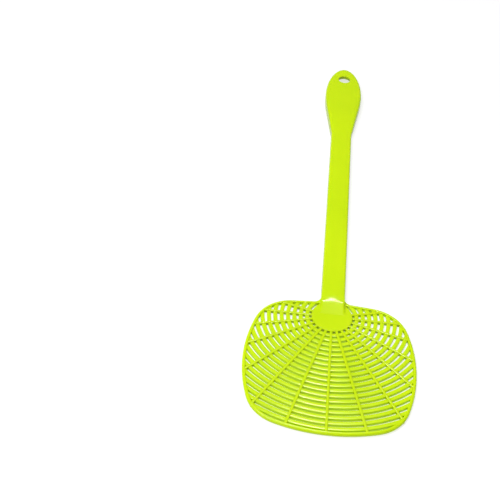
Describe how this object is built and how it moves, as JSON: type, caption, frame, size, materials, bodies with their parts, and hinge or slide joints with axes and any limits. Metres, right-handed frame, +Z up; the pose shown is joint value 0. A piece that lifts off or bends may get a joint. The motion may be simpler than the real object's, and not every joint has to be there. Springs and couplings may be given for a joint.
{
  "type": "fly swatter",
  "caption": "Moulded plastic fly swatter with a slotted, fan-patterned head, ramped neck, channel stem and teardrop grip with a hang hole.",
  "frame": {"origin": "on the table, under the middle of the whole length and width, as the swatter lies face up", "axes": "+X to the right, +Y along the handle towards the grip, +Z up out of the face"},
  "size_m": [0.1264, 0.4451, 0.0082],
  "materials": {
    "lime_plastic": "satin-gloss moulded polypropylene, lime yellow, slightly translucent where thin"
  },
  "bodies": {
    "handle": {"grip_shell": "lime_plastic", "hang_hole_collar": "lime_plastic", "grip_spine_rib": "lime_plastic", "grip_cross_ribs": "lime_plastic", "stem_channel": "lime_plastic", "stem_spine_rib": "lime_plastic", "stem_cross_ribs": "lime_plastic", "neck_flexure": "lime_plastic"},
    "head": {"neck_ramp": "lime_plastic", "hub_disc": "lime_plastic", "rim": "lime_plastic", "spoke_center": "lime_plastic", "spoke_left_1": "lime_plastic", "spoke_left_2": "lime_plastic", "spoke_left_3": "lime_plastic", "spoke_left_4": "lime_plastic", "spoke_left_5": "lime_plastic", "spoke_left_6": "lime_plastic", "spoke_left_7": "lime_plastic", "spoke_right_1": "lime_plastic", "spoke_right_2": "lime_plastic", "spoke_right_3": "lime_plastic", "spoke_right_4": "lime_plastic", "spoke_right_5": "lime_plastic", "spoke_right_6": "lime_plastic", "spoke_right_7": "lime_plastic", "bars_left_1": "lime_plastic", "bars_left_2": "lime_plastic", "bars_left_3": "lime_plastic", "bars_left_4": "lime_plastic", "bars_left_5": "lime_plastic", "bars_left_6": "lime_plastic", "bars_left_7": "lime_plastic", "bars_left_8": "lime_plastic", "bars_right_1": "lime_plastic", "bars_right_2": "lime_plastic", "bars_right_3": "lime_plastic", "bars_right_4": "lime_plastic", "bars_right_5": "lime_plastic", "bars_right_6": "lime_plastic", "bars_right_7": "lime_plastic", "bars_right_8": "lime_plastic"}
  },
  "joints": [
    {"name": "neck_flex", "type": "hinge", "parent": "handle", "child": "head", "pos_m": [0, -0.08985, 0.0045], "axis": [1, 0, 0], "range_deg": [-12, 12], "stiffness_Nm_per_rad": 3, "deforming": ["neck_flexure"]}
  ]
}
